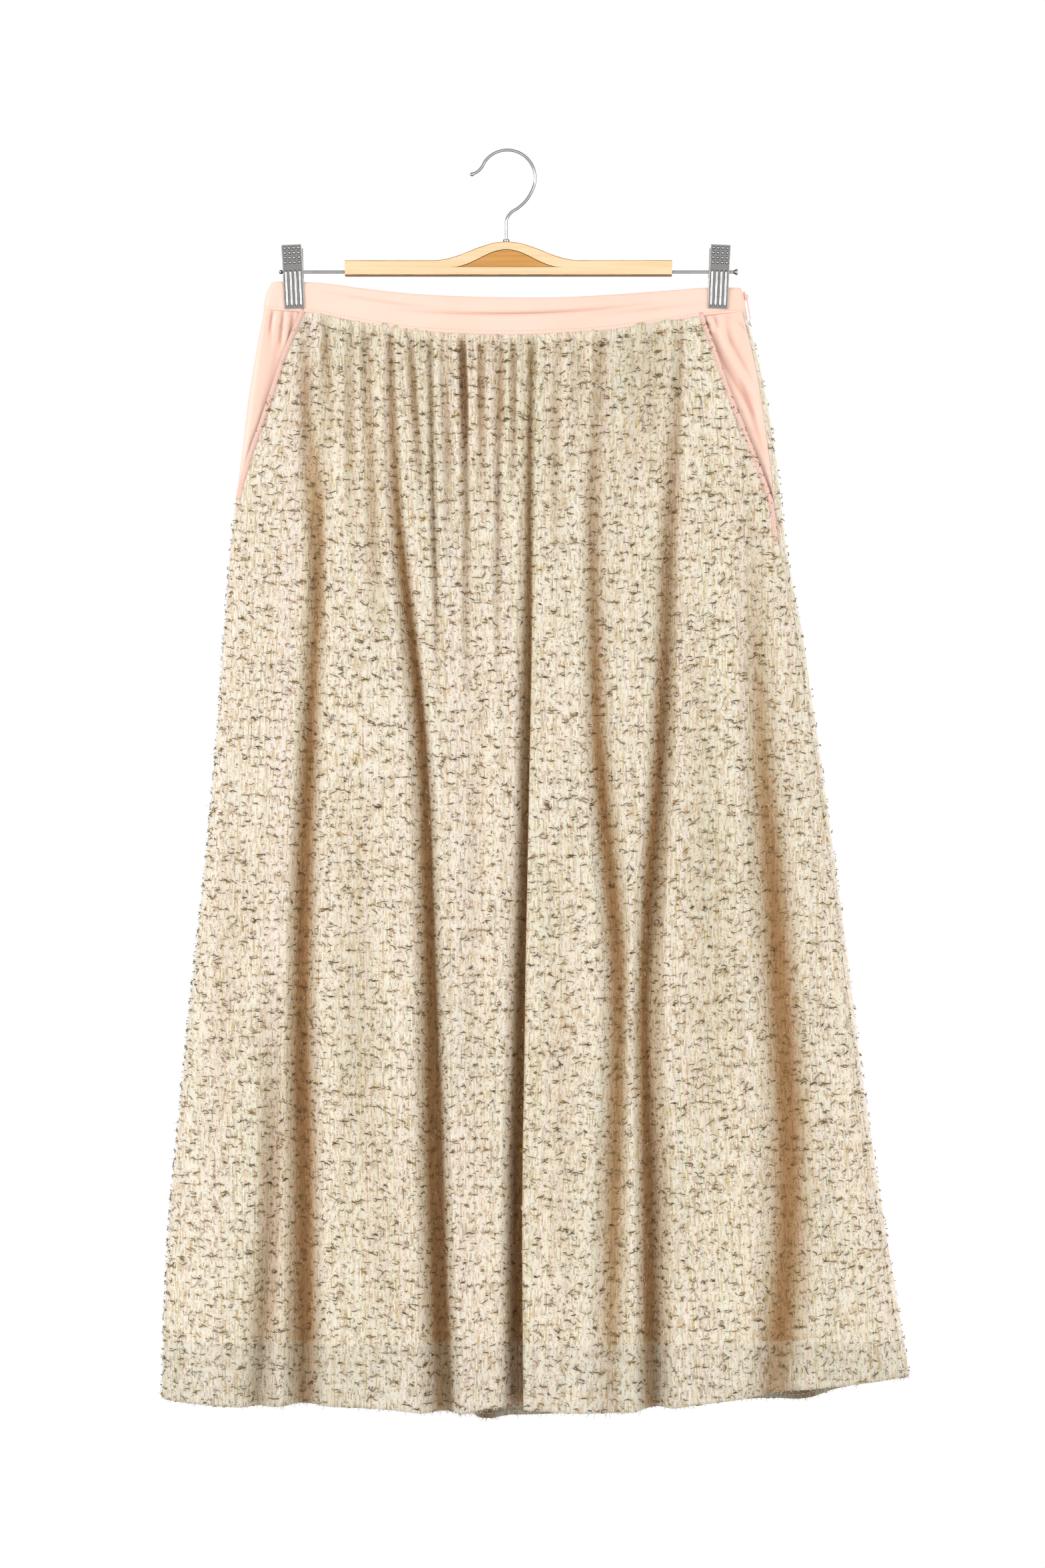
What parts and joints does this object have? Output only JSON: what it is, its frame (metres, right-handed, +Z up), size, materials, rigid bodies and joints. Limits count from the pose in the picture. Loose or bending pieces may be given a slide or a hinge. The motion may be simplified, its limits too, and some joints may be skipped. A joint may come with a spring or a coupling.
{
  "type": "gathered midi skirt on a clip hanger",
  "caption": "Gathered, lined A-line skirt with slanted side pockets and a plain waistband, hung by clips from a wooden hanger with a wire hook.",
  "frame": {"origin": "the highest point inside the hook, where a rail carries the hanger", "axes": "+Z up, the front of the skirt faces -Y, +X to the viewer's right"},
  "size_m": [0.6171, 0.093, 1.0525],
  "materials": {
    "flecked_cloth": "semi-sheer woven cloth with cut dark flecks and fine gold threads",
    "pink_satin": "matt side of satin-backed crepe",
    "pink_binding": "bias twill binding",
    "tan_lining": "thin plain lining",
    "pale_wood": "satin lacquer, dark edge lines",
    "caramel_wood": "satin lacquer",
    "chrome": "polished",
    "pink_lacquer": "gloss enamel"
  },
  "bodies": {
    "skirt": {"front_panel": "flecked_cloth", "back_panel": "flecked_cloth", "waistband_front": "pink_satin", "waistband_back": "pink_satin", "hip_panel_left": "pink_satin", "hip_panel_right": "pink_satin", "pocket_binding_left": "pink_binding", "pocket_binding_right": "pink_binding", "lining_front": "tan_lining", "lining_back": "tan_lining", "hanger_bar": "pale_wood", "hanger_inlay": "caramel_wood", "hanger_hook": "chrome", "hook_collar": "chrome", "rod_left": "chrome", "rod_right": "chrome", "clip_left_front": "chrome", "clip_left_back": "chrome", "clip_left_spring": "chrome", "clip_right_front": "chrome", "clip_right_back": "chrome", "clip_right_spring": "chrome", "zip_slider": "pink_lacquer"},
    "zip_pull": {"zip_pull": "pink_lacquer"}
  },
  "joints": [
    {"name": "zip_pull_hinge", "type": "hinge", "parent": "skirt", "child": "zip_pull", "pos_m": [0.2001, 0, -0.12], "axis": [0, -1, 0], "range_deg": [0, 160]}
  ]
}
